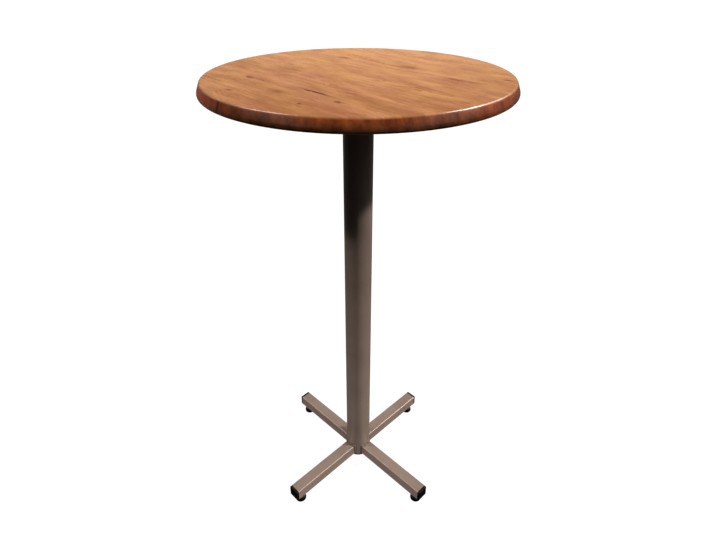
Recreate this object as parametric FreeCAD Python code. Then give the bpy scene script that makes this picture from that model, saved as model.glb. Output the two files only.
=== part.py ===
import FreeCAD, Part
import math
import os

from FreeCAD import Vector

# A bar-height pub table: a round moulded top on a steel column that stands on four tube legs.
# Millimetres, +Z up, with the origin on the floor under the column. -Y is the front.

# The whole table
overall_height = 1067.0
top_diameter = 610.0
column_diameter = 63.5
leg_size = 30.0
leg_reach = 231.0             # column axis to the open end of a leg tube
foot_setback = 16.0           # open end of a leg tube back to the centre of its foot

# Moulded top: a panel with a deeper rim turned down all round
panel_thickness = 16.0
rim_depth = 25.0
rim_foot_width = 17.0         # outermost edge in to the start of the underside recess
rim_flare = 6.5               # lean of the side, from the top edge out to the belly
belly_drop = 17.5             # top face down to the widest place of the rim
recess_draft = 5.0            # lean of the recess wall, for the mould
top_edge_radius = 4.0
belly_radius = 14.0
rim_foot_radius = 5.0
recess_edge_radius = 3.0

# Steel plate that carries the top
plate_size = 200.0
plate_thickness = 4.0
plate_corner_radius = 12.0
plate_hole_inset = 20.0       # hole centre in from the two nearest edges of the plate

# Screws, washers and threaded inserts that fix the top to its plate
screw_diameter = 6.0
screw_length = 16.0
screw_head_diameter = 10.5
screw_head_height = 3.3
screw_head_radius = 1.2
screw_socket_size = 4.0       # across the flats
screw_socket_depth = 2.0
washer_diameter = 12.5
washer_thickness = 1.6
insert_diameter = 10.0
insert_length = 12.0

# Column tube and the plug in its lower end
column_wall = 2.0
column_plug_flange = 4.0
column_plug_depth = 14.0

# Leg tubes
leg_wall = 2.0
leg_corner_radius = 3.0
leg_bore_corner_radius = 1.0
weld_radius = 3.0

# Ribbed caps in the ends of the legs
cap_thickness = 6.0
cap_edge_radius = 1.5
cap_border = 4.5
cap_slot_depth = 0.8
cap_rib_width = 2.4
cap_slot_count = 4
cap_plug_depth = 8.0

# Plugs of the caps and of the column: a thin wall with fins that grip the tube
plug_wall = 2.0
plug_gap = 0.6                # bare plug wall to the bore
fin_width = 1.2
fin_count = 3

# Screw feet: a nut fixed in the leg, a stud with a hexagon, and a pad on the stud's ball
nut_flange_diameter = 15.0
nut_flange_thickness = 1.5
nut_body_diameter = 11.0
nut_body_length = 14.0
nut_bulge_diameter = 14.0
nut_bulge_height = 3.0
stud_diameter = 8.0
stud_thread_length = 25.0
stud_tip_chamfer = 0.8
hexagon_size = 13.0           # across the flats
hexagon_height = 6.0
neck_diameter = 6.5
neck_gap = 1.0                # top of the pad up to the hexagon
ball_diameter = 10.0
pad_diameter = 28.0
pad_height = 13.5
pad_side_height = 5.0         # floor up to the start of the pad's dome
pad_collar_diameter = 15.0    # flat ring at the top of the dome
pad_edge_radius = 2.5
pad_floor = 3.0               # plastic under the ball

# Fits
seat_clearance = 0.05         # curved faces that are fixed to each other
running_clearance = 0.06      # faces that turn or slide on each other
throat_clearance = 0.6        # room for the neck to tilt in the pad
hole_clearance = 0.4          # play of a screw in a plain hole
cut_overrun = 5.0

# Places that follow from the sizes above
column_radius = column_diameter / 2
leg_underside = pad_height + neck_gap + hexagon_height + nut_flange_thickness
leg_top = leg_underside + leg_size
leg_bore = leg_size - 2 * leg_wall
foot_radius = leg_reach - foot_setback
panel_underside = overall_height - panel_thickness
plate_underside = panel_underside - plate_thickness
washer_underside = plate_underside - washer_thickness
plate_hole_place = plate_size / 2 - plate_hole_inset
ball_height = pad_floor + running_clearance + ball_diameter / 2
hexagon_bottom = pad_height + neck_gap
hexagon_top = hexagon_bottom + hexagon_height

corner_angles = {"front_left": 225, "front_right": 315, "back_right": 45, "back_left": 135}
plate_corners = ((-1, -1), (1, -1), (1, 1), (-1, 1))
up = Vector(0, 0, 1)


def rod(radius, bottom, top, x=0, y=0):
    return Part.makeCylinder(radius, top - bottom, Vector(x, y, bottom))


def ring(outer_radius, inner_radius, bottom, top, x=0, y=0):
    hole = rod(inner_radius, bottom - cut_overrun, top + cut_overrun, x, y)
    return rod(outer_radius, bottom, top, x, y).cut(hole)


def turned(edges):
    """A solid of revolution about Z, from the edges of its half section."""
    face = Part.Face(Part.Wire(edges))
    return face.revolve(Vector(0, 0, 0), up, 360)


def run_of_lines(points):
    """Edges from point to point, each point given as radius and height."""
    places = [Vector(radius, 0, height) for radius, height in points]
    return [Part.LineSegment(a, b).toShape() for a, b in zip(places, places[1:])]


def hexagon(size, bottom, top, x=0, y=0):
    corner = size / math.sqrt(3)
    angles = [math.radians(60 * side) for side in range(7)]
    points = [Vector(x + corner * math.cos(a), y + corner * math.sin(a), bottom) for a in angles]
    return Part.Face(Part.makePolygon(points)).extrude(up * (top - bottom))


def round_edges_at(shape, radius, height, fillet):
    """Rounds the circular edge that lies at this radius about Z and at this height."""
    def matches(edge):
        curve = edge.Curve
        if not isinstance(curve, Part.Circle):
            return False
        same_radius = math.isclose(curve.Radius, radius, rel_tol=1e-6)
        return same_radius and math.isclose(curve.Center.z, height, rel_tol=1e-6)
    return shape.makeFillet(fillet, [edge for edge in shape.Edges if matches(edge)])


def square_bar(size, start, end, corner_radius):
    """A bar along +X, centred on a leg's axis, with its long edges rounded."""
    bottom = leg_underside + leg_size / 2 - size / 2
    bar = Part.makeBox(end - start, size, size, Vector(start, -size / 2, bottom))
    long_edges = [edge for edge in bar.Edges if abs(edge.tangentAt(edge.FirstParameter).x) > 0.5]
    return bar.makeFillet(corner_radius, long_edges)


def at_corner(shape, angle):
    """Turns a piece that was made along +X to its leg's direction."""
    turned_shape = shape.copy()
    turned_shape.rotate(Vector(0, 0, 0), up, angle)
    return turned_shape


def export(name, shape):
    solids = shape.Solids
    volume = sum(solid.Volume for solid in solids)
    print(f"{name}: {len(solids)} solid(s), valid {shape.isValid()}, {volume:.1f} mm3")
    shape.exportStep(f"parts/{name}.step")


def table_top():
    radius = top_diameter / 2
    top_edge = radius - rim_flare
    rim_underside = overall_height - rim_depth
    recess_edge = radius - rim_foot_width
    outline = [
        (0, overall_height),
        (top_edge, overall_height),
        (radius, overall_height - belly_drop),
        (radius, rim_underside),
        (recess_edge, rim_underside),
        (recess_edge - recess_draft, panel_underside),
        (0, panel_underside),
        (0, overall_height),
    ]
    body = turned(run_of_lines(outline))
    body = round_edges_at(body, radius, overall_height - belly_drop, belly_radius)
    body = round_edges_at(body, top_edge, overall_height, top_edge_radius)
    body = round_edges_at(body, radius, rim_underside, rim_foot_radius)
    body = round_edges_at(body, recess_edge, rim_underside, recess_edge_radius)
    for side_x, side_y in plate_corners:
        x = side_x * plate_hole_place
        y = side_y * plate_hole_place
        hole_radius = insert_diameter / 2 + seat_clearance
        hole = rod(hole_radius, panel_underside - cut_overrun, panel_underside + insert_length, x, y)
        body = body.cut(hole)
    return body


def top_plate():
    corner = Vector(-plate_size / 2, -plate_size / 2, plate_underside)
    plate = Part.makeBox(plate_size, plate_size, plate_thickness, corner)
    upright_edges = [edge for edge in plate.Edges if abs(edge.tangentAt(edge.FirstParameter).z) > 0.5]
    plate = plate.makeFillet(plate_corner_radius, upright_edges)
    hole_radius = screw_diameter / 2 + hole_clearance
    for side_x, side_y in plate_corners:
        hole = rod(
            hole_radius,
            plate_underside - cut_overrun,
            panel_underside + cut_overrun,
            side_x * plate_hole_place,
            side_y * plate_hole_place,
        )
        plate = plate.cut(hole)
    return plate


def top_screw(x, y):
    """A round-head screw that points up, with a hexagon socket in its head."""
    head_bottom = washer_underside - screw_head_height
    head = rod(screw_head_diameter / 2, head_bottom, washer_underside)
    head = round_edges_at(head, screw_head_diameter / 2, head_bottom, screw_head_radius)
    socket = hexagon(screw_socket_size, head_bottom - cut_overrun, head_bottom + screw_socket_depth)
    shank = rod(screw_diameter / 2, washer_underside, washer_underside + screw_length)
    screw = head.cut(socket).fuse(shank)
    screw.translate(Vector(x, y, 0))
    return screw


def top_fixings():
    """The screws, washers and inserts, as one group of like pieces each."""
    screws = []
    washers = []
    inserts = []
    insert_bore = screw_diameter / 2 + seat_clearance
    washer_bore = screw_diameter / 2 + hole_clearance
    insert_top = panel_underside + insert_length
    for side_x, side_y in plate_corners:
        x = side_x * plate_hole_place
        y = side_y * plate_hole_place
        screws.append(top_screw(x, y))
        washers.append(ring(washer_diameter / 2, washer_bore, washer_underside, plate_underside, x, y))
        inserts.append(ring(insert_diameter / 2, insert_bore, panel_underside, insert_top, x, y))
    export("top_screws", Part.makeCompound(screws))
    export("top_washers", Part.makeCompound(washers))
    export("top_inserts", Part.makeCompound(inserts))


def column():
    return ring(column_radius, column_radius - column_wall, leg_underside, plate_underside)


def column_plug():
    """A round plug whose flange closes the lower end of the column."""
    flange_bottom = leg_underside - column_plug_flange
    plug_top = leg_underside + column_plug_depth
    bore_radius = column_radius - column_wall
    plug_radius = bore_radius - plug_gap
    plug = rod(column_radius, flange_bottom, leg_underside)
    plug = plug.fuse(ring(plug_radius, plug_radius - plug_wall, leg_underside, plug_top))
    fin_pitch = column_plug_depth / fin_count
    for fin in range(fin_count):
        fin_top = plug_top - fin * fin_pitch
        fin_ring = ring(bore_radius - seat_clearance, plug_radius - plug_wall, fin_top - fin_width, fin_top)
        plug = plug.fuse(fin_ring)
    return plug.removeSplitter()


def plate_weld():
    """A fillet weld round the top of the column, under its plate."""
    bead = Part.makeTorus(column_radius, weld_radius, Vector(0, 0, plate_underside))
    inside = rod(column_radius + seat_clearance, plate_underside - 2 * weld_radius, plate_underside + weld_radius)
    above = rod(column_radius + 2 * weld_radius, plate_underside, plate_underside + 2 * weld_radius)
    return bead.cut(inside).cut(above)


def leg_tube():
    """A square tube along +X, coped to the column, with a hole for its foot's nut."""
    outside = square_bar(leg_size, 0, leg_reach, leg_corner_radius)
    bore = square_bar(leg_bore, -cut_overrun, leg_reach + cut_overrun, leg_bore_corner_radius)
    cope = rod(column_radius + seat_clearance, leg_underside - cut_overrun, leg_top + cut_overrun)
    nut_hole_radius = nut_body_diameter / 2 + seat_clearance
    nut_hole = rod(nut_hole_radius, leg_underside - cut_overrun, leg_underside + leg_size / 2, foot_radius)
    return outside.cut(bore).cut(cope).cut(nut_hole)


def leg_weld():
    """A weld bead up both sides of a leg and over its top, where it meets the column."""
    half = leg_size / 2
    seam_x = math.sqrt(column_radius ** 2 - half ** 2)
    seam_angle = math.degrees(math.asin(half / column_radius))
    bead_circle = Part.Circle(Vector(column_radius, 0, leg_top), Vector(0, 1, 0), weld_radius)
    bead_face = Part.Face(Part.Wire(bead_circle.toShape()))
    bead_face.rotate(Vector(0, 0, 0), up, -seam_angle)
    bead = bead_face.revolve(Vector(0, 0, 0), up, 2 * seam_angle)
    for side in (-1, 1):
        bead = bead.fuse(rod(weld_radius, leg_underside, leg_top, seam_x, side * half))
        bead = bead.fuse(Part.makeSphere(weld_radius, Vector(seam_x, side * half, leg_top)))
    column_space = rod(column_radius + seat_clearance, leg_underside - cut_overrun, leg_top + cut_overrun)
    leg_space = square_bar(leg_size + 2 * seat_clearance, 0, leg_reach, leg_corner_radius)
    return bead.cut(column_space).cut(leg_space)


def end_cap():
    """A square cap along +X: a ribbed face outside, and a finned plug in the tube."""
    face_end = leg_reach + cap_thickness
    cap = square_bar(leg_size, leg_reach, face_end, leg_corner_radius)
    outer_edges = [edge for edge in cap.Edges if edge.BoundBox.XMin > face_end - cap_thickness / 2]
    cap = cap.makeFillet(cap_edge_radius, outer_edges)
    field = leg_size - 2 * cap_border
    slot_width = (field - (cap_slot_count - 1) * cap_rib_width) / cap_slot_count
    for slot in range(cap_slot_count):
        slot_start = -field / 2 + slot * (slot_width + cap_rib_width)
        corner = Vector(face_end - cap_slot_depth, slot_start, leg_underside + cap_border)
        cap = cap.cut(Part.makeBox(cap_slot_depth + cut_overrun, slot_width, field, corner))
    plug_start = leg_reach - cap_plug_depth
    plug_size = leg_bore - 2 * plug_gap
    plug_bore = plug_size - 2 * plug_wall
    plug_corner = leg_bore_corner_radius + plug_gap
    plug = square_bar(plug_size, plug_start, leg_reach, plug_corner)
    fin_pitch = cap_plug_depth / fin_count
    for fin in range(fin_count):
        fin_start = plug_start + fin * fin_pitch
        fin_size = leg_bore - 2 * seat_clearance
        plug = plug.fuse(square_bar(fin_size, fin_start, fin_start + fin_width, plug_corner))
    plug = plug.cut(square_bar(plug_bore, plug_start - cut_overrun, leg_reach, leg_bore_corner_radius))
    return cap.fuse(plug)


def foot_nut():
    """A flanged nut set in the leg's lower wall, with a bulge that grips the wall from inside."""
    body_top = leg_underside + nut_body_length
    wall_top = leg_underside + leg_wall
    nut = rod(nut_flange_diameter / 2, hexagon_top, leg_underside, foot_radius)
    nut = nut.fuse(rod(nut_body_diameter / 2, leg_underside, body_top, foot_radius))
    nut = nut.fuse(rod(nut_bulge_diameter / 2, wall_top, wall_top + nut_bulge_height, foot_radius))
    bore_radius = stud_diameter / 2 + running_clearance
    return nut.cut(rod(bore_radius, hexagon_top - cut_overrun, body_top + cut_overrun, foot_radius))


def foot_stud():
    """A screwed stud: a ball in the pad, a neck, a hexagon for a spanner and the thread."""
    thread_top = hexagon_top + stud_thread_length
    thread = rod(stud_diameter / 2, hexagon_top, thread_top)
    tip_edges = [edge for edge in thread.Edges if edge.BoundBox.ZMin > thread_top - stud_tip_chamfer]
    thread = thread.makeChamfer(stud_tip_chamfer, tip_edges)
    stud = Part.makeSphere(ball_diameter / 2, Vector(0, 0, ball_height))
    stud = stud.fuse(rod(neck_diameter / 2, ball_height, hexagon_bottom))
    stud = stud.fuse(hexagon(hexagon_size, hexagon_bottom, hexagon_top)).fuse(thread)
    stud.translate(Vector(foot_radius, 0, 0))
    return stud


def foot_pad():
    """A domed pad, flat underneath, with a socket that holds the stud's ball."""
    radius = pad_diameter / 2
    collar = pad_collar_diameter / 2
    dome_width = radius - collar
    dome_height = pad_height - pad_side_height
    dome_radius = (dome_width ** 2 + dome_height ** 2) / (2 * dome_width)
    dome_centre = radius - dome_radius
    half_angle = math.atan2(dome_height, collar - dome_centre) / 2
    dome_start = Vector(radius, 0, pad_side_height)
    dome_middle = Vector(
        dome_centre + dome_radius * math.cos(half_angle),
        0,
        pad_side_height + dome_radius * math.sin(half_angle),
    )
    dome_end = Vector(collar, 0, pad_height)
    outline = run_of_lines([(0, pad_height), (0, 0), (radius, 0), (radius, pad_side_height)])
    outline.append(Part.Arc(dome_start, dome_middle, dome_end).toShape())
    outline += run_of_lines([(collar, pad_height), (0, pad_height)])
    pad = round_edges_at(turned(outline), radius, 0, pad_edge_radius)
    throat_radius = neck_diameter / 2 + throat_clearance
    pad = pad.cut(rod(throat_radius, ball_height, pad_height + cut_overrun))
    pad = pad.cut(Part.makeSphere(ball_diameter / 2 + running_clearance, Vector(0, 0, ball_height)))
    pad.translate(Vector(foot_radius, 0, 0))
    return pad


os.makedirs("parts", exist_ok=True)

export("table_top", table_top())
top_fixings()
export("top_plate", top_plate())
export("plate_weld", plate_weld())
export("column", column())
export("column_plug", column_plug())

corner_pieces = {
    "leg": leg_tube(),
    "leg_weld": leg_weld(),
    "end_cap": end_cap(),
    "foot_nut": foot_nut(),
    "foot_stud": foot_stud(),
    "foot_pad": foot_pad(),
}
for corner, angle in corner_angles.items():
    for piece, shape in corner_pieces.items():
        export(f"{piece}_{corner}", at_corner(shape, angle))
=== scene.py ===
import math
import random

import bmesh
import bpy
from mathutils import Matrix, Vector


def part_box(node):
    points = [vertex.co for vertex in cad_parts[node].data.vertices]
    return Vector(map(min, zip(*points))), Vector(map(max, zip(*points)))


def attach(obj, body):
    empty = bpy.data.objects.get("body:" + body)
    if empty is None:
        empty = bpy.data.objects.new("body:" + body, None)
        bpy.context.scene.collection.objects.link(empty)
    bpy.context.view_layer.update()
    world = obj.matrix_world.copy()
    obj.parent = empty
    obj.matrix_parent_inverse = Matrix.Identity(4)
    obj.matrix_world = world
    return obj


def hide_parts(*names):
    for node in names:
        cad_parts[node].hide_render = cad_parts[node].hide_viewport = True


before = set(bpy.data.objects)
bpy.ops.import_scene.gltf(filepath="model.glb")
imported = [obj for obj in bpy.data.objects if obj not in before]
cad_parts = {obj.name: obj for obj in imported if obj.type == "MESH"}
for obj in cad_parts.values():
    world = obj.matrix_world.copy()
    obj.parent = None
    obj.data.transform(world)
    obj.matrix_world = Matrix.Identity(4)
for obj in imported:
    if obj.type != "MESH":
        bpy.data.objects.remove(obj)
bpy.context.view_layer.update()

# Foot pads
# Four domed glides that stand on the floor, each free to tilt on the ball of its stud.
# They are moulded in black nylon, and the part of each that shows is its smooth dome.

MM = 0.001
CORNER_ANGLES = {"front_left": 225, "front_right": 315, "back_right": 45, "back_left": 135}
MOULD_FLOW = 7 * MM
SPARK_GRAIN = 0.8 * MM
SPARK_DEPTH = 0.06 * MM
PLASTIC_IOR = 1.53
PLASTIC_SHINE = 0.12
NOISE_RANGE = {"From Min": 0.3, "From Max": 0.7}    # where nearly all of a noise's values lie
SHARE, FIRST, SECOND, MIXED = 0, 6, 7, 2            # sockets of a colour mix, and of its result


def linear(hex_colour):
    """An sRGB hex colour as the linear values that a shader takes."""
    parts = [int(hex_colour[start:start + 2], 16) / 255 for start in (1, 3, 5)]
    return [p / 12.92 if p <= 0.04045 else ((p + 0.055) / 1.055) ** 2.4 for p in parts] + [1.0]


def new_material(name):
    material = bpy.data.materials.new(name)
    material.use_nodes = True
    material.node_tree.nodes.clear()
    return material


def add_node(material, kind, inputs, **settings):
    """Adds one shader node, then sets each of its inputs or links it to another node's output."""
    node = material.node_tree.nodes.new("ShaderNode" + kind)
    for name, value in settings.items():
        setattr(node, name, value)
    for socket, value in inputs.items():
        if isinstance(value, bpy.types.NodeSocket):
            material.node_tree.links.new(value, node.inputs[socket])
        else:
            node.inputs[socket].default_value = value
    return node


def moulded_black(name, dark, light, smoothest, roughest):
    """Black plastic from a steel mould: a faint flow mottle in tone and gloss, and a fine spark grain.
    The grain is about 0.2 mm on the real piece, and is drawn at 0.8 mm so that it shows."""
    material = new_material(name)
    place = add_node(material, "TexCoord", {}).outputs["Object"]
    flow = {"Vector": place, "Scale": 1 / MOULD_FLOW, "Detail": 3, "Roughness": 0.55}
    mottle = add_node(material, "TexNoise", flow).outputs["Fac"]
    spark = {"Vector": place, "Scale": 1 / SPARK_GRAIN, "Detail": 2}
    grain = add_node(material, "TexNoise", spark).outputs["Fac"]
    shade = {SHARE: mottle, FIRST: linear(dark), SECOND: linear(light)}
    colour = add_node(material, "Mix", shade, data_type="RGBA").outputs[MIXED]
    gloss = {"Value": mottle, **NOISE_RANGE, "To Min": smoothest, "To Max": roughest}
    roughness = add_node(material, "MapRange", gloss).outputs["Result"]
    relief = {"Height": grain, "Strength": 0.25, "Distance": SPARK_DEPTH}
    bump = add_node(material, "Bump", relief).outputs["Normal"]
    surface = {
        "Base Color": colour, "Roughness": roughness, "Normal": bump,
        "IOR": PLASTIC_IOR, "Specular IOR Level": PLASTIC_SHINE,
    }
    shader = add_node(material, "BsdfPrincipled", surface)
    add_node(material, "OutputMaterial", {"Surface": shader.outputs["BSDF"]})
    return material


def dress(node, material):
    """Puts a finish on a solid that keeps its own shape."""
    for material_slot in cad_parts[node].material_slots:
        material_slot.material = material


nylon = moulded_black("moulded_black_nylon", "#030303", "#080808", smoothest=0.4, roughest=0.5)
for corner in CORNER_ANGLES:
    dress(f"foot_pad_{corner}", nylon)

# Foot studs
# Turned steel studs with a ball in the pad, a hexagon for a spanner and an M8 thread up into the leg.
# They are bright zinc plated. The thread is a true helix, because it shows as a foot is screwed out.

THREAD_PITCH = 1.25 * MM
THREAD_RADIUS = 4.0 * MM
THREAD_DEPTH = 0.68 * MM
THREAD_FLAT = THREAD_PITCH / 8
THREAD_FLANK = THREAD_PITCH * 5 / 16
THREAD_TURNS = 20
THREAD_STEPS = 24
HEXAGON_FLATS = 13.0 * MM
HEXAGON_BOTTOM = 14.5 * MM
HEXAGON_HEIGHT = 6.0 * MM
HEXAGON_CHAMFER = 0.8 * MM
DISC_STEPS = 72
BALL_RADIUS = 5.0 * MM
BALL_STEPS = 48
NECK_RADIUS = 3.25 * MM
MERGE_GAP = 0.001 * MM
ZINC_CLOUD = 5 * MM
TURNING_LINE = 0.5 * MM
TURNING_DEPTH = 0.03 * MM
TURNING_STRETCH = (0.05, 0.05, 1)


def start_piece(name):
    """Names the primitive that was just added, puts its place in its mesh, and opens it for editing."""
    piece = bpy.context.object
    piece.name = name
    bpy.ops.object.transform_apply(location=True, rotation=True, scale=True)
    bpy.ops.object.mode_set(mode="EDIT")
    return piece


def pick(kind, test):
    """Selects the edges or faces of the piece being edited that pass a test."""
    bpy.ops.mesh.select_mode(type={"edges": "EDGE", "faces": "FACE"}[kind])
    bpy.ops.mesh.select_all(action="DESELECT")
    mesh = bpy.context.object.data
    shape = bmesh.from_edit_mesh(mesh)
    for element in getattr(shape, kind):
        element.select_set(test(element))
    shape.select_flush_mode()
    bmesh.update_edit_mesh(mesh)


def extrude(x, y, z):
    bpy.ops.mesh.extrude_region_move(TRANSFORM_OT_translate={"value": (x, y, z)})


def close_piece(smooth_angle):
    """Merges doubles, turns the faces outwards, and leaves edit mode with edges soft up to an angle."""
    bpy.ops.mesh.select_all(action="SELECT")
    bpy.ops.mesh.remove_doubles(threshold=MERGE_GAP)
    bpy.ops.mesh.normals_make_consistent(inside=False)
    bpy.ops.object.mode_set(mode="OBJECT")
    bpy.ops.object.shade_smooth_by_angle(angle=math.radians(smooth_angle))


def apply_modifier(piece, kind, **settings):
    modifier = piece.modifiers.new(kind.lower(), kind)
    for name, value in settings.items():
        setattr(modifier, name, value)
    bpy.context.view_layer.objects.active = piece
    bpy.ops.object.modifier_apply(modifier=modifier.name)


def copy_piece(pattern, name, place):
    """A copy of a finished piece, with its own mesh moved to its place."""
    piece = bpy.data.objects.new(name, pattern.data.copy())
    piece.data.transform(place)
    bpy.context.collection.objects.link(piece)
    return piece


def join(pieces):
    bpy.ops.object.select_all(action="DESELECT")
    for piece in pieces:
        piece.select_set(True)
    bpy.context.view_layer.objects.active = pieces[0]
    bpy.ops.object.join()
    return pieces[0]


def coat(piece, *materials):
    """Gives a new piece its finishes, the first of them all over."""
    piece.data.materials.clear()
    for material in materials:
        piece.data.materials.append(material)


def threaded_rod(bottom):
    """One tooth of the thread, drawn point by point, then screwed up into the whole rod."""
    bpy.ops.object.select_all(action="DESELECT")
    bpy.ops.mesh.primitive_circle_add(vertices=3, radius=THREAD_DEPTH)
    rod = start_piece("rod")
    bpy.ops.mesh.merge(type="CENTER")
    bpy.ops.transform.translate(value=(THREAD_RADIUS - THREAD_DEPTH, 0, bottom))
    extrude(0, 0, THREAD_FLAT)
    extrude(THREAD_DEPTH, 0, THREAD_FLANK)
    extrude(0, 0, THREAD_FLAT)
    extrude(-THREAD_DEPTH, 0, THREAD_FLANK)
    extrude(0, 0, THREAD_FLAT)
    bpy.ops.object.mode_set(mode="OBJECT")
    apply_modifier(
        rod, "SCREW", screw_offset=THREAD_PITCH, iterations=THREAD_TURNS, steps=THREAD_STEPS,
        render_steps=THREAD_STEPS, use_merge_vertices=True, merge_threshold=MERGE_GAP,
    )
    bpy.ops.object.mode_set(mode="EDIT")
    bpy.ops.mesh.select_all(action="SELECT")
    bpy.ops.mesh.remove_doubles(threshold=MERGE_GAP)
    pick("edges", lambda edge: edge.is_boundary)
    bpy.ops.mesh.fill()
    close_piece(smooth_angle=30)
    return rod


def spanner_hexagon():
    """A six-sided prism, with its corners turned down by a chamfered disc that it shares."""
    middle = HEXAGON_BOTTOM + HEXAGON_HEIGHT / 2
    corner_radius = HEXAGON_FLATS / math.sqrt(3)
    bpy.ops.object.select_all(action="DESELECT")
    bpy.ops.mesh.primitive_cylinder_add(
        vertices=DISC_STEPS, radius=corner_radius, depth=HEXAGON_HEIGHT, location=(0, 0, middle))
    disc = start_piece("disc")
    pick("edges", lambda edge: abs(edge.verts[0].co.z - edge.verts[1].co.z) < MERGE_GAP)
    bpy.ops.mesh.bevel(offset=HEXAGON_CHAMFER, segments=1, affect="EDGES")
    close_piece(smooth_angle=30)
    bpy.ops.object.select_all(action="DESELECT")
    bpy.ops.mesh.primitive_cylinder_add(
        vertices=6, radius=corner_radius, depth=HEXAGON_HEIGHT, location=(0, 0, middle))
    hexagon = start_piece("hexagon")
    close_piece(smooth_angle=30)
    apply_modifier(hexagon, "BOOLEAN", operation="INTERSECT", object=disc, solver="EXACT")
    bpy.data.objects.remove(disc)
    return hexagon


def ball_and_neck(ball_height):
    """A ball cut open at the top, where its rim is drawn up into the neck."""
    rim_height = ball_height + math.sqrt(BALL_RADIUS ** 2 - NECK_RADIUS ** 2)
    bpy.ops.object.select_all(action="DESELECT")
    bpy.ops.mesh.primitive_uv_sphere_add(
        segments=BALL_STEPS, ring_count=BALL_STEPS // 2, radius=BALL_RADIUS, location=(0, 0, ball_height))
    ball = start_piece("ball")
    bpy.ops.mesh.bisect(
        plane_co=(0, 0, rim_height), plane_no=(0, 0, 1), clear_outer=True, clear_inner=False)
    pick("edges", lambda edge: edge.is_boundary)
    extrude(0, 0, HEXAGON_BOTTOM - rim_height)
    bpy.ops.mesh.fill()
    close_piece(smooth_angle=40)
    return ball


def bright_zinc():
    """Zinc plating over turned steel: bright, faintly blue, with fine turning lines and a cloudy sheen.
    Turning lines are about 0.1 mm apart on the real piece, and are drawn at 0.5 mm so that they show."""
    material = new_material("bright_zinc_plate")
    place = add_node(material, "TexCoord", {}).outputs["Object"]
    cloud = {"Vector": place, "Scale": 1 / ZINC_CLOUD, "Detail": 3}
    clouds = add_node(material, "TexNoise", cloud).outputs["Fac"]
    stretch = {"Vector": place, "Scale": TURNING_STRETCH}
    turned = add_node(material, "Mapping", stretch).outputs["Vector"]
    line = {"Vector": turned, "Scale": 1 / TURNING_LINE, "Detail": 2}
    lines = add_node(material, "TexNoise", line).outputs["Fac"]
    shade = {SHARE: clouds, FIRST: linear("#a9aeb4"), SECOND: linear("#cfd2d2")}
    colour = add_node(material, "Mix", shade, data_type="RGBA").outputs[MIXED]
    gloss = {"Value": clouds, **NOISE_RANGE, "To Min": 0.24, "To Max": 0.4}
    roughness = add_node(material, "MapRange", gloss).outputs["Result"]
    relief = {"Height": lines, "Strength": 0.3, "Distance": TURNING_DEPTH}
    bump = add_node(material, "Bump", relief).outputs["Normal"]
    surface = {"Base Color": colour, "Metallic": 1.0, "Roughness": roughness, "Normal": bump}
    shader = add_node(material, "BsdfPrincipled", surface)
    add_node(material, "OutputMaterial", {"Surface": shader.outputs["BSDF"]})
    return material


zinc = bright_zinc()
stud_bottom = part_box("foot_stud_front_left")[0][2]
thread_bottom = HEXAGON_BOTTOM + HEXAGON_HEIGHT - THREAD_PITCH
stud_pattern = join([
    threaded_rod(thread_bottom),
    spanner_hexagon(),
    ball_and_neck(stud_bottom + BALL_RADIUS),
])
coat(stud_pattern, zinc)
for corner in CORNER_ANGLES:
    stud_low, stud_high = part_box(f"foot_stud_{corner}")
    axis = ((stud_low[0] + stud_high[0]) / 2, (stud_low[1] + stud_high[1]) / 2, 0)
    stud = copy_piece(stud_pattern, f"threaded_stud_{corner}", Matrix.Translation(axis))
    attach(stud, f"stud_{corner}")
    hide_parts(f"foot_stud_{corner}")
bpy.data.objects.remove(stud_pattern)

# Foot nuts
# Flanged steel nuts pressed into a hole in each leg's lower wall, which the studs screw into.
# They are zinc plated like the studs, and only the flange shows, under the leg.

for corner in CORNER_ANGLES:
    dress(f"foot_nut_{corner}", zinc)

# Legs and column
# Four square steel tubes, coped and welded to a round steel tube, and powder coated as one frame.
# The coat is a satin metallic bronze.

COAT_CLOUD = 90 * MM
COAT_FLAKE = 1.0 * MM
COAT_PEEL = 4 * MM
PEEL_DEPTH = 0.08 * MM
FLAKE_WEIGHT = 0.4
SPECKLE_RANGE = {"From Min": 0.3, "From Max": 1.1}
COAT_METALLIC = 0.25


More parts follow.
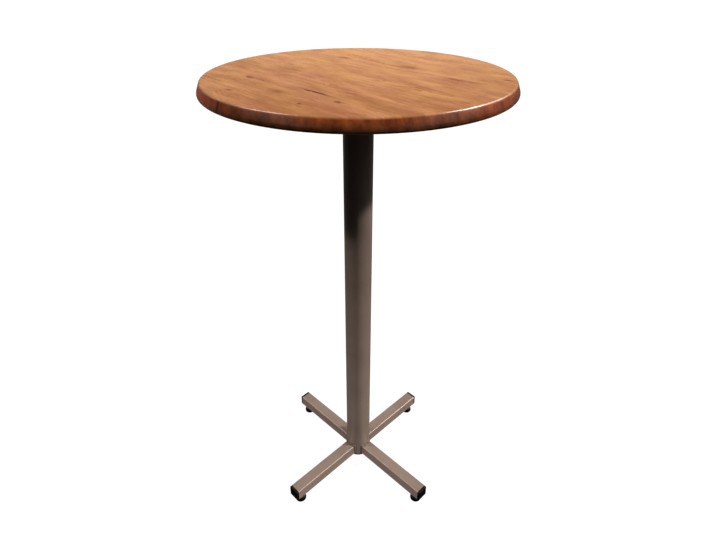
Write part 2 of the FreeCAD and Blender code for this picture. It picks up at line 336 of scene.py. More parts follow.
def bronze_powder_coat(name, dark, light, smoothest, roughest):
    """Metallic bronze powder coat on steel: a satin skin with a gentle orange peel and a fine flake.
    The flake is about 0.1 mm and the peel about 2 mm on the real coat, drawn at 1 mm and 4 mm to show."""
    material = new_material(name)
    place = add_node(material, "TexCoord", {}).outputs["Object"]
    cloud = {"Vector": place, "Scale": 1 / COAT_CLOUD, "Detail": 3}
    clouds = add_node(material, "TexNoise", cloud).outputs["Fac"]
    flake = {"Vector": place, "Scale": 1 / COAT_FLAKE, "Detail": 1}
    flakes = add_node(material, "TexNoise", flake).outputs["Fac"]
    ripple = {"Vector": place, "Scale": 1 / COAT_PEEL, "Detail": 1}
    peel = add_node(material, "TexNoise", ripple).outputs["Fac"]
    blend = {0: flakes, 1: FLAKE_WEIGHT, 2: clouds}
    speckle = add_node(material, "Math", blend, operation="MULTIPLY_ADD").outputs["Value"]
    tone = add_node(material, "MapRange", {"Value": speckle, **SPECKLE_RANGE}).outputs["Result"]
    shade = {SHARE: tone, FIRST: linear(dark), SECOND: linear(light)}
    colour = add_node(material, "Mix", shade, data_type="RGBA").outputs[MIXED]
    gloss = {"Value": clouds, **NOISE_RANGE, "To Min": smoothest, "To Max": roughest}
    roughness = add_node(material, "MapRange", gloss).outputs["Result"]
    relief = {"Height": peel, "Strength": 0.15, "Distance": PEEL_DEPTH}
    bump = add_node(material, "Bump", relief).outputs["Normal"]
    surface = {"Base Color": colour, "Metallic": COAT_METALLIC, "Roughness": roughness, "Normal": bump}
    shader = add_node(material, "BsdfPrincipled", surface)
    add_node(material, "OutputMaterial", {"Surface": shader.outputs["BSDF"]})
    return material


bronze = bronze_powder_coat("bronze_powder_coat", "#726055", "#877467", smoothest=0.35, roughest=0.43)
dress("column", bronze)
for corner in CORNER_ANGLES:
    dress(f"leg_{corner}", bronze)

# Leg welds
# Beads of weld metal up both sides of each leg and over its top, where it meets the column.
# They were laid in overlapping ripples. Their coat is darker and duller than the frame's: the darkness is
# painted shade for the creases where the parts meet.

WELD_RADIUS = 3.4 * MM
RIPPLE_PITCH = 2.6 * MM
RIPPLE_FLATNESS = 0.6
DROP_STEPS = 16
DROP_RINGS = 10
DROP_SIZES = (0.9, 1.04)
WELD_SKIN = 0.4 * MM
hand = random.Random(4)
# Painted shade: the weld coat's darker colours stand for the shade in the creases at the legs' and the
# plate's joins.
weld_coat_painted_shade = bronze_powder_coat(
    "bronze_powder_coat_on_weld_painted_shade", "#4b4037", "#66584c", smoothest=0.36, roughest=0.5)


def weld_bead(name, ripples):
    """Lays a flattened drop at each place and heading, then fuses the drops into one skin."""
    bpy.ops.object.select_all(action="DESELECT")
    bpy.ops.mesh.primitive_uv_sphere_add(
        segments=DROP_STEPS, ring_count=DROP_RINGS, radius=WELD_RADIUS)
    drop = start_piece("drop")
    bpy.ops.transform.resize(value=(1, 1, RIPPLE_FLATNESS))
    close_piece(smooth_angle=60)
    laid = []
    for place, heading in ripples:
        turn = Vector(heading).to_track_quat("Z", "Y").to_matrix().to_4x4()
        size = hand.uniform(*DROP_SIZES)
        laid.append(copy_piece(drop, name, Matrix.Translation(place) @ turn @ Matrix.Scale(size, 4)))
    bpy.data.objects.remove(drop)
    bead = join(laid)
    bead.name = name
    apply_modifier(bead, "REMESH", mode="VOXEL", voxel_size=WELD_SKIN)
    apply_modifier(bead, "SMOOTH", factor=0.5, iterations=2)
    bpy.ops.object.shade_smooth()
    coat(bead, weld_coat_painted_shade)
    return bead


def round_column(angle, height):
    """The place and the heading of a ripple that is laid round the column."""
    place = (column_radius * math.cos(angle), column_radius * math.sin(angle), height)
    return place, (-math.sin(angle), math.cos(angle), 0)


leg_low, leg_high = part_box("leg_front_left")
column_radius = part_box("column")[1][0]
leg_half = (leg_high[2] - leg_low[2]) / 2
seam_angle = math.asin(leg_half / column_radius)
seam_x = column_radius * math.cos(seam_angle)
rise_count = round(2 * leg_half / RIPPLE_PITCH)
cross_count = round(2 * seam_angle * column_radius / RIPPLE_PITCH)

leg_seam = []
for step in range(rise_count + 1):
    height = leg_low[2] + 2 * leg_half * step / rise_count
    leg_seam.append(((seam_x, -leg_half, height), (0, 0, 1)))
    leg_seam.append(((seam_x, leg_half, height), (0, 0, 1)))
for step in range(cross_count + 1):
    leg_seam.append(round_column(seam_angle * (2 * step / cross_count - 1), leg_high[2]))

for corner, corner_angle in CORNER_ANGLES.items():
    bead = weld_bead(f"weld_bead_{corner}", leg_seam)
    bead.data.transform(Matrix.Rotation(math.radians(corner_angle), 4, "Z"))
    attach(bead, "frame")
    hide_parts(f"leg_weld_{corner}")

# End caps and column plug
# Black polyethylene plugs pushed into the open ends of the legs and of the column.
# Their faces are duller than the feet, with a ribbed panel inside a plain border.

polyethylene = moulded_black(
    "moulded_black_polyethylene", "#040404", "#0a0a0a", smoothest=0.46, roughest=0.58)
dress("column_plug", polyethylene)
for corner in CORNER_ANGLES:
    dress(f"end_cap_{corner}", polyethylene)

# Top plate and its weld
# A square steel plate welded to the top of the column and powder coated with it.
# The bead under it goes all the way round the column.

dress("top_plate", bronze)
plate_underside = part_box("top_plate")[0][2]
ring_count = round(2 * math.pi * column_radius / RIPPLE_PITCH)
plate_seam = []
for step in range(ring_count):
    plate_seam.append(round_column(2 * math.pi * step / ring_count, plate_underside))
plate_bead = weld_bead("plate_weld_bead", plate_seam)
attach(plate_bead, "frame")
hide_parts("plate_weld")

# Screws, washers and threaded inserts
# Four zinc plated machine screws hold the plate up to the top, each over a washer.
# They screw into brass inserts that are set in the moulded panel.

BRASS_CLOUD = 4 * MM


def turned_brass():
    """Free-cutting brass as it came off the lathe: a warm yellow with a cloudy, dull bloom."""
    material = new_material("turned_brass")
    place = add_node(material, "TexCoord", {}).outputs["Object"]
    cloud = {"Vector": place, "Scale": 1 / BRASS_CLOUD, "Detail": 3}
    clouds = add_node(material, "TexNoise", cloud).outputs["Fac"]
    shade = {SHARE: clouds, FIRST: linear("#a8823e"), SECOND: linear("#d0aa5c")}
    colour = add_node(material, "Mix", shade, data_type="RGBA").outputs[MIXED]
    gloss = {"Value": clouds, **NOISE_RANGE, "To Min": 0.25, "To Max": 0.45}
    roughness = add_node(material, "MapRange", gloss).outputs["Result"]
    surface = {"Base Color": colour, "Metallic": 1.0, "Roughness": roughness}
    shader = add_node(material, "BsdfPrincipled", surface)
    add_node(material, "OutputMaterial", {"Surface": shader.outputs["BSDF"]})
    return material


dress("top_screws", zinc)
dress("top_washers", zinc)
dress("top_inserts", turned_brass())

# Table top
# A round panel with a rolled rim, pressed in one piece from resin-bound wood chips.
# An oak print under clear melamine covers the face and the rim, and the underside has a plain backing.

TOP_STEPS = 192
FILLET_STEPS = 6
HOLE_STEPS = 48
SAME_PLACE = 0.01 * MM
RIM_FLARE = 6.5 * MM
BELLY_DROP = 17.5 * MM
RIM_DEPTH = 25.0 * MM
RIM_FOOT_WIDTH = 17.0 * MM
PANEL_THICKNESS = 16.0 * MM
RECESS_DRAFT = 5.0 * MM
TOP_EDGE_RADIUS = 4.0 * MM
BELLY_RADIUS = 14.0 * MM
RIM_FOOT_RADIUS = 5.0 * MM
RECESS_EDGE_RADIUS = 3.0 * MM
INSERT_RADIUS = 5.05 * MM
INSERT_DEPTH = 12.0 * MM
MELAMINE_IOR = 1.5
PRINT_DEPTH = 0.05 * MM
BACKING_CHIP = 6 * MM
CHIP_DEPTH = 0.15 * MM

# Depths below the top, in radii of its edge, between which the rim's print gives way to the face's.
RIM_PRINT_TOP = 1.2
FACE_PRINT_END = 0.25

# Layers of the face's grain, each with a cell's length and width in millimetres and its detail, and the
# weight of each in the tone.
GRAIN_DIRECTION = math.radians(-47)
GRAIN_SWAY = 16 * MM
SWAY_CELL = (260, 120, 1)
GRAIN_CELLS = {
    "bands": (360, 42, 2),
    "mottles": (70, 26, 2),
    "streaks": (130, 8, 3),
    "fibres": (60, 1.4, 2),
    "pores": (11, 0.6, 1),
}
GRAIN_WEIGHTS = {
    "bands": 0.8, "mottles": 0.7, "streaks": 0.6, "fibres": 0.45, "pores": -0.3, "rings": -0.3,
}
GRAIN_BASE = -0.33
TONE_RANGE = {"From Min": 0.5, "From Max": 1.25}
# Painted light: the drift raises the tone towards the top's back and right, where the top catches more
# light and sheen.
TONE_PAINTED_LIGHT_DRIFT = (0.06, 0.4)        # rise of the tone from the top's centre to its right and back edges
PORE_RANGE = {"From Min": 0.56, "From Max": 0.68}
HUE_CELL = (150, 55, 2)
HUE_RANGE = {"From Min": 0.35, "From Max": 0.65}

# Growth rings: their width in millimetres, how many of them each layer shifts them by, and the patches
# in which they are clear.
RING_WIDTH = 6.0
RING_WAVES = (420, 60, 2)
RING_SHIFTS = {"waves": 9.0, "mottles": 4.0, "knots": 6.0}
RING_SHARPNESS = 2.5
RING_PATCHES = (110, 24, 2)
PATCH_RANGE = {"From Min": 0.38, "From Max": 0.62, "To Min": 0.1}

# Knots, a split and smoky stains of the print: right and back from the top's centre, half length and
# half width along the grain in millimetres, and how dark.
KNOTS = (
    (-30, 166, 26, 14, 0.50),
    (102, 61, 48, 20, 0.48),
    (-205, -30, 18, 8, 0.62),
    (-222, -132, 14, 8, 0.45),
    (-136, -146, 26, 16, 0.34),
    (-73, -149, 60, 5.4, 1.0),
    (-32, -215, 14, 9, 0.70),
    (-91, -224, 10, 5, 0.80),
    (176, -54, 30, 8, 0.38),
    (210, -81, 30, 5, 0.40),
    (274, -61, 16, 7, 0.60),
    (169, -220, 12, 5, 0.45),
)
STAINS = (
    (-102, 271, 40, 18, 0.45),
    (163, 230, 40, 18, 0.40),
    (240, 15, 30, 18, 0.35),
    (-150, 40, 60, 26, 0.20),
    (60, -120, 70, 22, 0.18),
    (-78, -152, 80, 34, 0.30),
    (-36, -208, 50, 26, 0.25),
)
BLOT_FADE = {"From Min": 0.0, "From Max": 1.3, "To Min": 1.0, "To Max": 0.0}
CORE_FADE = {"From Min": 0.2, "From Max": 0.7, "To Min": 0.4, "To Max": 0.0}
KNOT_COVER = 0.75               # strength of a knot outside its core
KNOT_PUSH = 0.5                 # how far a knot bends the grain, in its own half widths
RAGGED_CELL = 18 * MM
RAGGED_REACH = 4 * MM           # how far the outlines of the marks wander to each side

# Dark marks of the rim's print, and paler lengths of painted light where the rim faces the side lights:
# degrees round the top, half width in degrees, and how strong.
RIM_MARKS = (
    (-138.5, 1.1, 0.75),
    (-118.0, 5.0, 0.3),
    (-62.0, 4.0, 0.25),
    (-40.5, 3.0, 0.35),
    (-16.5, 4.0, 0.45),
    (35.0, 3.0, 0.4),
    (120.0, 2.0, 0.5),
    (160.0, 4.0, 0.3),
)
RIM_PAINTED_LIGHT_LENGTHS = (
    (-178.0, 50.0, 0.85),
    (-36.0, 30.0, 0.12),
)
RIM_BLOTCH = 22 * MM
RIM_STREAK_RANGE = {"From Min": 0.3, "From Max": 0.55, "To Min": 0.3, "To Max": 0.0}

top_low, top_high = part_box("table_top")
top_radius = top_high[0]
belly_height = top_high[2] - BELLY_DROP
panel_underside = top_high[2] - PANEL_THICKNESS
recess_edge = top_radius - RIM_FOOT_WIDTH
backing_edge = top_radius - RIM_FOOT_RADIUS
side_turn = math.atan2(BELLY_DROP, RIM_FLARE)
recess_turn = math.atan2(RIM_DEPTH - PANEL_THICKNESS, RECESS_DRAFT)


def round_rim(radius, height, fillet, turn):
    """Rounds the edge loop at this radius and height. The turn is the angle between its two faces."""
    def on_loop(edge):
        on_radius = all(abs(math.hypot(v.co.x, v.co.y) - radius) < SAME_PLACE for v in edge.verts)
        return on_radius and all(abs(v.co.z - height) < SAME_PLACE for v in edge.verts)
    pick("edges", on_loop)
    bpy.ops.mesh.bevel(offset=fillet * math.tan(turn / 2), segments=FILLET_STEPS, affect="EDGES")


def on_underside(face):
    """Whether a face belongs to the backing: the rim's foot, the recess or a hole for an insert."""
    inside = all(math.hypot(v.co.x, v.co.y) < backing_edge + SAME_PLACE for v in face.verts)
    return inside and face.calc_center_median().z < panel_underside + INSERT_DEPTH


def across_grain(reach):
    """A shift of this reach in metres, square to the grain."""
    return (-math.sin(GRAIN_DIRECTION) * reach, math.cos(GRAIN_DIRECTION) * reach, 0)


def grain_cells(material, place, length, width):
    """Places along and across the grain, counted in cells of this length and width in millimetres."""
    cell = {"Vector": place, "Rotation": (0, 0, GRAIN_DIRECTION), "Scale": (length * MM, width * MM, 1)}
    return add_node(material, "Mapping", cell, vector_type="TEXTURE").outputs["Vector"]


def grain_noise(material, place, length, width, detail):
    """Noise drawn out along the grain, in cells of this length and width in millimetres."""
    cells = grain_cells(material, place, length, width)
    noise = {"Vector": cells, "Scale": 1.0, "Detail": detail, "Roughness": 0.55}
    return add_node(material, "TexNoise", noise).outputs["Fac"]


def ragged_places(material, flat):
    """Places shifted a little by noise, which makes the outlines of the print's marks wander."""
    wander = {"Vector": flat, "Scale": 1 / RAGGED_CELL, "Detail": 2}
    wandering = add_node(material, "TexNoise", wander).outputs["Color"]
    shift = {0: wandering, 1: (2 * RAGGED_REACH, 2 * RAGGED_REACH, 0), 2: flat}
    shifted = add_node(material, "VectorMath", shift, operation="MULTIPLY_ADD").outputs["Vector"]
    recentre = {0: shifted, 1: (RAGGED_REACH, RAGGED_REACH, 0)}
    return add_node(material, "VectorMath", recentre, operation="SUBTRACT").outputs["Vector"]


def blot(material, ragged, x, y, half_length, half_width):
    """One oval mark: places in it counted in half lengths and half widths, their reach, and its cover."""
    oval = {
        "Vector": ragged,
        "Location": (x * MM, y * MM, 0),
        "Rotation": (0, 0, GRAIN_DIRECTION),
        "Scale": (half_length * MM, half_width * MM, 1),
    }
    local = add_node(material, "Mapping", oval, vector_type="TEXTURE").outputs["Vector"]
    reach = add_node(material, "VectorMath", {0: local}, operation="LENGTH").outputs["Value"]
    fade = {"Value": reach, **BLOT_FADE}
    cover = add_node(material, "MapRange", fade, interpolation_type="SMOOTHERSTEP").outputs["Result"]
    return local, reach, cover


def print_stains(material, ragged):
    """The smoky stains, laid over each other."""
    stains = 0.0
    for x, y, half_length, half_width, strength in STAINS:
        cover = blot(material, ragged, x, y, half_length, half_width)[-1]
        laid = {0: cover, 1: strength, 2: stains}
        stains = add_node(material, "Math", laid, operation="MULTIPLY_ADD").outputs["Value"]
    return stains


def print_knots(material, ragged, flow):
    """The knots, each with a darker core, and the flow of the grain bent round them."""
    knots = 0.0
    for x, y, half_length, half_width, strength in KNOTS:
        local, reach, cover = blot(material, ragged, x, y, half_length, half_width)
        fade = {"Value": reach, **CORE_FADE}
        core = add_node(material, "MapRange", fade, interpolation_type="SMOOTHSTEP").outputs["Result"]
        dark = {0: cover, 1: KNOT_COVER, 2: core}
        knot = add_node(material, "Math", dark, operation="MULTIPLY_ADD").outputs["Value"]
        laid = {0: knot, 1: strength, 2: knots}
        knots = add_node(material, "Math", laid, operation="MULTIPLY_ADD").outputs["Value"]
        across = add_node(material, "SeparateXYZ", {"Vector": local}).outputs["Y"]
        push = add_node(material, "Math", {0: across, 1: cover}, operation="MULTIPLY").outputs["Value"]
        bend = {0: push, 1: across_grain(-KNOT_PUSH * half_width * MM), 2: flow}
        flow = add_node(material, "VectorMath", bend, operation="MULTIPLY_ADD").outputs["Vector"]
    return knots, flow


def growth_rings(material, flow, mottles, knots):
    """Thin lines along the grain, which bunch up at the mottles and knots and are clear only in patches."""
    cells = grain_cells(material, flow, 1, RING_WIDTH)
    phase = add_node(material, "SeparateXYZ", {"Vector": cells}).outputs["Y"]
    layers = {"waves": grain_noise(material, flow, *RING_WAVES), "mottles": mottles, "knots": knots}
    for name, count in RING_SHIFTS.items():
        shifted = {0: layers[name], 1: count, 2: phase}
        phase = add_node(material, "Math", shifted, operation="MULTIPLY_ADD").outputs["Value"]
    steps = add_node(material, "Math", {0: phase}, operation="FRACT").outputs["Value"]
    lines = add_node(material, "Math", {0: steps, 1: RING_SHARPNESS}, operation="POWER").outputs["Value"]
    patches = {"Value": grain_noise(material, flow, *RING_PATCHES), **PATCH_RANGE}
    clear = add_node(material, "MapRange", patches, interpolation_type="SMOOTHSTEP").outputs["Result"]
    return add_node(material, "Math", {0: lines, 1: clear}, operation="MULTIPLY").outputs["Value"]


def rim_print(material, place, height, ragged, streaks):
    """The rim's darker print: blotched, with marks round it. A still darker copy towards the belly and
    below is painted shade, and paler lengths where the rim faces the side lights are painted light.
    """
    blotch = {"Vector": place, "Scale": 1 / RIM_BLOTCH, "Detail": 3, "Roughness": 0.6}
    patches = add_node(material, "TexNoise", blotch).outputs["Fac"]
    blotches = add_node(material, "MapRange", {"Value": patches, **NOISE_RANGE}).outputs["Result"]
    upper = {SHARE: blotches, FIRST: linear("#54210c"), SECOND: linear("#924822")}
    upper = add_node(material, "Mix", upper, data_type="RGBA").outputs[MIXED]
    # Painted shade: this darker copy of the print takes over towards the belly and below it, for the shade
    # of the rim's lower curve.
    lower = {SHARE: blotches, FIRST: linear("#2f170b"), SECOND: linear("#5a321c")}
    lower = add_node(material, "Mix", lower, data_type="RGBA").outputs[MIXED]
    side = {"Value": height, "From Min": belly_height, "From Max": top_high[2] - TOP_EDGE_RADIUS / 2}
    rise = add_node(material, "MapRange", side).outputs["Result"]
    shaded = {SHARE: rise, FIRST: lower, SECOND: upper}
    rim = add_node(material, "Mix", shaded, data_type="RGBA").outputs[MIXED]
    dim = add_node(material, "MapRange", {"Value": streaks, **RIM_STREAK_RANGE}).outputs["Result"]
    streaked = {SHARE: dim, FIRST: rim, SECOND: linear("#2a130a")}
    rim = add_node(material, "Mix", streaked, data_type="RGBA").outputs[MIXED]

    ways = add_node(material, "SeparateXYZ", {"Vector": ragged}).outputs
    bearing = {0: ways["Y"], 1: ways["X"]}
    around = add_node(material, "Math", bearing, operation="ARCTAN2").outputs["Value"]
    # The first pass lays the paler lengths, which are painted light on the rim's sides. The second lays the
    # print's dark marks.
    for lengths, hue in ((RIM_PAINTED_LIGHT_LENGTHS, "#c8561f"), (RIM_MARKS, "#1f0d06")):
        marks = 0.0
        for angle, half_width, strength in lengths:
            from_mark = {0: around, 1: math.radians(angle)}
            turn = add_node(material, "Math", from_mark, operation="SUBTRACT").outputs["Value"]
            away = add_node(material, "Math", {0: turn, 1: math.pi}, operation="PINGPONG")
            fade = {
                "Value": away.outputs["Value"], "From Max": math.radians(half_width),
                "To Min": strength, "To Max": 0.0,
            }
            mark = add_node(material, "MapRange", fade, interpolation_type="SMOOTHSTEP")
            laid = {0: mark.outputs["Result"], 1: marks}
            marks = add_node(material, "Math", laid, operation="ADD").outputs["Value"]
        marked = {SHARE: marks, FIRST: rim, SECOND: linear(hue)}
        rim = add_node(material, "Mix", marked, data_type="RGBA").outputs[MIXED]
    return rim


def oak_print():
    """An oak print under clear melamine: straight brown grain with soft bands, knots and a split.
    The rim takes a darker print, and the clear skin gives the whole a satin gloss."""
    material = new_material("oak_print_melamine")
    place = add_node(material, "TexCoord", {}).outputs["Object"]
    level = {0: place, 1: (1, 1, 0)}
    flat = add_node(material, "VectorMath", level, operation="MULTIPLY").outputs["Vector"]
    ragged = ragged_places(material, flat)
    stains = print_stains(material, ragged)
    knots, flow = print_knots(material, ragged, flat)
    sway = {0: grain_noise(material, flat, *SWAY_CELL), 1: across_grain(GRAIN_SWAY), 2: flow}
    flow = add_node(material, "VectorMath", sway, operation="MULTIPLY_ADD").outputs["Vector"]

    layers = {name: grain_noise(material, flow, *cell) for name, cell in GRAIN_CELLS.items()}
    pores = {"Value": layers["pores"], **PORE_RANGE}
    layers["pores"] = add_node(material, "MapRange", pores).outputs["Result"]
    layers["rings"] = growth_rings(material, flow, layers["mottles"], knots)
    tone = GRAIN_BASE
    for name, weight in GRAIN_WEIGHTS.items():
        layered = {0: layers[name], 1: weight, 2: tone}
        tone = add_node(material, "Math", layered, operation="MULTIPLY_ADD").outputs["Value"]
    tone = add_node(material, "MapRange", {"Value": tone, **TONE_RANGE}).outputs["Result"]
    # Painted light: the tone rises towards the back and right edges of the top.
    slope = {0: place, 1: (TONE_PAINTED_LIGHT_DRIFT[0] / top_radius, TONE_PAINTED_LIGHT_DRIFT[1] / top_radius, 0)}
    painted_light_drift = add_node(material, "VectorMath", slope, operation="DOT_PRODUCT").outputs["Value"]
    drifted = {0: tone, 1: painted_light_drift}
    tone = add_node(material, "Math", drifted, operation="ADD", use_clamp=True).outputs["Value"]

    hue = {"Value": grain_noise(material, flow, *HUE_CELL), **HUE_RANGE}
    hues = add_node(material, "MapRange", hue).outputs["Result"]
    pale = {SHARE: hues, FIRST: linear("#bb855d"), SECOND: linear("#bb8857")}
    pale = add_node(material, "Mix", pale, data_type="RGBA").outputs[MIXED]
    deep = {SHARE: hues, FIRST: linear("#885336"), SECOND: linear("#885731")}
    deep = add_node(material, "Mix", deep, data_type="RGBA").outputs[MIXED]
    grain = {SHARE: tone, FIRST: deep, SECOND: pale}
    face = add_node(material, "Mix", grain, data_type="RGBA").outputs[MIXED]
    height = add_node(material, "SeparateXYZ", {"Vector": place}).outputs["Z"]
    rim = rim_print(material, place, height, ragged, layers["streaks"])
    edge = {
        "Value": height,
        "From Min": top_high[2] - TOP_EDGE_RADIUS * RIM_PRINT_TOP,
        "From Max": top_high[2] - TOP_EDGE_RADIUS * FACE_PRINT_END,
    }
    on_face = add_node(material, "MapRange", edge, interpolation_type="SMOOTHSTEP").outputs["Result"]
    turned = {SHARE: on_face, FIRST: rim, SECOND: face}
    colour = add_node(material, "Mix", turned, data_type="RGBA").outputs[MIXED]
    smoky = {SHARE: stains, FIRST: colour, SECOND: linear("#86583a")}
    colour = add_node(material, "Mix", smoky, data_type="RGBA").outputs[MIXED]
    knotty = {SHARE: knots, FIRST: colour, SECOND: linear("#5f2a10")}
    colour = add_node(material, "Mix", knotty, data_type="RGBA").outputs[MIXED]

    gloss = {"Value": layers["fibres"], **NOISE_RANGE, "To Min": 0.27, "To Max": 0.2}
    roughness = add_node(material, "MapRange", gloss).outputs["Result"]
    relief = {"Height": tone, "Strength": 0.15, "Distance": PRINT_DEPTH}
    bump = add_node(material, "Bump", relief).outputs["Normal"]
    surface = {"Base Color": colour, "Roughness": roughness, "Normal": bump, "IOR": MELAMINE_IOR}
    shader = add_node(material, "BsdfPrincipled", surface)
    add_node(material, "OutputMaterial", {"Surface": shader.outputs["BSDF"]})
    return material


def brown_backing():
    """Resin-soaked backing paper on the underside: dull dark brown, with pressed chips showing through."""
    material = new_material("brown_backing_paper")
    place = add_node(material, "TexCoord", {}).outputs["Object"]
    chip = {"Vector": place, "Scale": 1 / BACKING_CHIP, "Detail": 3}
    chips = add_node(material, "TexNoise", chip).outputs["Fac"]
    shade = {SHARE: chips, FIRST: linear("#2c1c12"), SECOND: linear("#4a3120")}
    colour = add_node(material, "Mix", shade, data_type="RGBA").outputs[MIXED]
    gloss = {"Value": chips, **NOISE_RANGE, "To Min": 0.5, "To Max": 0.65}
    roughness = add_node(material, "MapRange", gloss).outputs["Result"]
    relief = {"Height": chips, "Strength": 0.3, "Distance": CHIP_DEPTH}
    bump = add_node(material, "Bump", relief).outputs["Normal"]
    surface = {"Base Color": colour, "Roughness": roughness, "Normal": bump, "IOR": MELAMINE_IOR}
    shader = add_node(material, "BsdfPrincipled", surface)
    add_node(material, "OutputMaterial", {"Surface": shader.outputs["BSDF"]})
    return material


bpy.ops.object.select_all(action="DESELECT")
bpy.ops.mesh.primitive_cylinder_add(
    vertices=TOP_STEPS, radius=top_radius, depth=belly_height - top_low[2],
    location=(0, 0, (belly_height + top_low[2]) / 2))
table_top = start_piece("moulded_table_top")
pick("faces", lambda face: face.normal.z > 0.5)
extrude(0, 0, BELLY_DROP)
taper = (top_radius - RIM_FLARE) / top_radius
bpy.ops.transform.resize(value=(taper, taper, 1), center_override=(0, 0, top_high[2]))
pick("faces", lambda face: face.normal.z < -0.5)
bpy.ops.mesh.inset(thickness=RIM_FOOT_WIDTH)
extrude(0, 0, RIM_DEPTH - PANEL_THICKNESS)
taper = (recess_edge - RECESS_DRAFT) / recess_edge
bpy.ops.transform.resize(value=(taper, taper, 1), center_override=(0, 0, panel_underside))
round_rim(top_radius, belly_height, BELLY_RADIUS, math.pi / 2 - side_turn)
round_rim(top_radius - RIM_FLARE, top_high[2], TOP_EDGE_RADIUS, side_turn)
round_rim(top_radius, top_low[2], RIM_FOOT_RADIUS, math.pi / 2)
round_rim(recess_edge, top_low[2], RECESS_EDGE_RADIUS, recess_turn)
close_piece(smooth_angle=35)

hole_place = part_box("top_inserts")[1][0] - INSERT_RADIUS
cutters = []
for side_x, side_y in ((-1, -1), (1, -1), (1, 1), (-1, 1)):
    bpy.ops.object.select_all(action="DESELECT")
    bpy.ops.mesh.primitive_cylinder_add(
        vertices=HOLE_STEPS, radius=INSERT_RADIUS, depth=2 * INSERT_DEPTH,
        location=(side_x * hole_place, side_y * hole_place, panel_underside))
    cutters.append(bpy.context.object)
cutter = join(cutters)
apply_modifier(table_top, "BOOLEAN", operation="DIFFERENCE", object=cutter, solver="EXACT")
bpy.data.objects.remove(cutter)

coat(table_top, oak_print(), brown_backing())
bpy.ops.object.select_all(action="DESELECT")
table_top.select_set(True)
bpy.context.view_layer.objects.active = table_top
bpy.ops.object.mode_set(mode="EDIT")
pick("faces", on_underside)
table_top.active_material_index = 1
bpy.ops.object.material_slot_assign()
bpy.ops.object.mode_set(mode="OBJECT")
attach(table_top, "frame")
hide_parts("table_top")

# Studio
# A plain pale floor, far lights from the right, left and front, one light over the back of the top and
# a faint one up from the floor. The surround is white to the camera, and dimmer in the gloss.
# The camera stands a step in front of the table, a little above its top, and looks down.

FLOOR_SIZE = 60
FLOOR_SHINE = 0.95

# Glow of the surround that the gloss mirrors, and where it starts and is full, as parts of a direction.
SIDE_GLOW = 0.8
SIDE_RANGE = {"From Min": 0.45, "From Max": 0.75}
RAISED_RANGE = {"From Min": 0.2, "From Max": 0.4}
BACK_GLOW = 0.1
FLOOR_GLOW = 0.12
BACK_RANGE = {"From Min": 0.0, "From Max": 0.6}
HORIZON_RANGE = {"From Min": -0.1, "From Max": 0.1}

# Far lights: degrees round the table and above the floor, strength, and width in degrees. The gleams give
# only a highlight, and the dull lights give none.
GLEAMS = {
    "right_gleam": (3, 37, 4.0, 24),
    "left_gleam": (181, 49, 1.7, 26),
    "rim_gleam": (26, 30, 1.2, 36),
}
DULL_LIGHTS = {
    "right_light": (-8, 42.5, 4.1, 4),
    "left_light": (182, 50, 1.6, 5),
    "front_light": (-90, 50.5, 0.64, 5),
    "high_front_light": (-90, 58, 0.9, 24),
    "low_right_light": (-20, 25, 0.22, 30),
}
BOUNCE_HEIGHT = 0.002
BOUNCE_SIZE = 1.0
BOUNCE_POWER = 3.1
BACK_LIGHT_PLACE = Vector((0.08, 0.6, 1.75))
BACK_LIGHT_SIZE = 0.7
BACK_LIGHT_POWER = 7.8
CAMERA_PLACE = (-0.0005, -1.041, 1.2792)
CAMERA_TILT = 29.11             # degrees below level
SENSOR_WIDTH = 36
IMAGE_WIDTH = 716
FOCAL_PIXELS = 525.3
CENTRE_RISE = 30.0              # pixels from the picture's middle to the lens axis

pale_floor = new_material("pale_floor")
floor_surface = {
    "Base Color": linear("#484848"), "Roughness": 0.7,
    "Emission Color": (1, 1, 1, 1), "Emission Strength": FLOOR_SHINE,
}
floor_shader = add_node(pale_floor, "BsdfPrincipled", floor_surface)
add_node(pale_floor, "OutputMaterial", {"Surface": floor_shader.outputs["BSDF"]})
bpy.ops.object.select_all(action="DESELECT")
bpy.ops.mesh.primitive_plane_add(size=FLOOR_SIZE)
floor = bpy.context.object
floor.name = "floor"
floor.data.materials.append(pale_floor)
floor.visible_diffuse = False
floor.visible_glossy = False

world = bpy.data.worlds.new("studio")
bpy.context.scene.world = world
world.use_nodes = True
world.node_tree.nodes.clear()
sight = add_node(world, "LightPath", {}).outputs["Is Camera Ray"]
direction = add_node(world, "TexCoord", {}).outputs["Generated"]
ways = add_node(world, "SeparateXYZ", {"Vector": direction}).outputs
sideways = add_node(world, "Math", {0: ways["X"]}, operation="ABSOLUTE").outputs["Value"]
side_screen = {"Value": sideways, **SIDE_RANGE, "To Max": SIDE_GLOW}
beside = add_node(world, "MapRange", side_screen, interpolation_type="SMOOTHSTEP").outputs["Result"]
side_foot = {"Value": ways["Z"], **RAISED_RANGE}
raised = add_node(world, "MapRange", side_foot, interpolation_type="SMOOTHSTEP").outputs["Result"]
back_screen = {"Value": ways["Y"], **BACK_RANGE}
behind = add_node(world, "MapRange", back_screen, interpolation_type="SMOOTHSTEP").outputs["Result"]
horizon = {"Value": ways["Z"], **HORIZON_RANGE, "To Min": FLOOR_GLOW, "To Max": BACK_GLOW}
back_glow = add_node(world, "MapRange", horizon, interpolation_type="SMOOTHSTEP").outputs["Result"]
back = add_node(world, "Math", {0: behind, 1: back_glow}, operation="MULTIPLY").outputs["Value"]
screens = {0: beside, 1: raised, 2: back}
glow = add_node(world, "Math", screens, operation="MULTIPLY_ADD").outputs["Value"]
mirrored = add_node(world, "Background", {"Strength": glow}).outputs["Background"]
white = add_node(world, "Background", {"Color": (1, 1, 1, 1), "Strength": 1.0}).outputs["Background"]
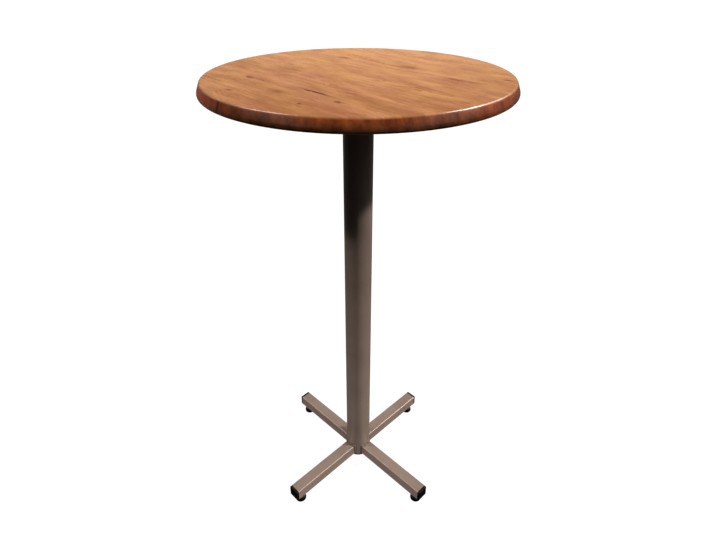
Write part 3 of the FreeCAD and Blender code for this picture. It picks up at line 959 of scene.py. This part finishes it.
seen = add_node(world, "MixShader", {0: sight, 1: mirrored, 2: white}).outputs["Shader"]
add_node(world, "OutputWorld", {"Surface": seen})
world.cycles_visibility.diffuse = False


def far_light(name, azimuth, elevation, strength, width):
    """A light far away, by its place round the table and above it, and its width in degrees."""
    bpy.ops.object.light_add(type="SUN")
    light = bpy.context.object
    light.name = name
    light.data.energy = strength
    light.data.angle = math.radians(width)
    around = math.radians(azimuth)
    above = math.radians(elevation)
    flat_reach = math.cos(above)
    source = Vector((flat_reach * math.cos(around), flat_reach * math.sin(around), math.sin(above)))
    light.rotation_euler = source.to_track_quat("Z", "Y").to_euler()
    return light


for name, light_values in GLEAMS.items():
    far_light(name, *light_values).visible_diffuse = False
for name, light_values in DULL_LIGHTS.items():
    far_light(name, *light_values).visible_glossy = False

bpy.ops.object.light_add(type="AREA", location=(0, 0, BOUNCE_HEIGHT), rotation=(math.pi, 0, 0))
floor_bounce = bpy.context.object
floor_bounce.name = "floor_bounce"
floor_bounce.data.shape = "DISK"
floor_bounce.data.size = BOUNCE_SIZE
floor_bounce.data.energy = BOUNCE_POWER
bpy.ops.object.light_add(type="AREA", location=BACK_LIGHT_PLACE)
back_light = bpy.context.object
back_light.name = "back_light"
back_light.data.size = BACK_LIGHT_SIZE
back_light.data.energy = BACK_LIGHT_POWER
from_top = BACK_LIGHT_PLACE - Vector((0, 0, top_high[2]))
back_light.rotation_euler = from_top.to_track_quat("Z", "Y").to_euler()
for light in (floor_bounce, back_light):
    light.visible_camera = False
    light.visible_glossy = False

camera_data = bpy.data.cameras.new("camera")
camera = bpy.data.objects.new("camera", camera_data)
bpy.context.collection.objects.link(camera)
camera.location = CAMERA_PLACE
camera.rotation_euler = (math.radians(90 - CAMERA_TILT), 0, 0)
camera_data.sensor_width = SENSOR_WIDTH
camera_data.lens = SENSOR_WIDTH * FOCAL_PIXELS / IMAGE_WIDTH
camera_data.shift_y = -CENTRE_RISE / IMAGE_WIDTH
bpy.context.scene.camera = camera
bpy.context.scene.view_settings.view_transform = "Standard"
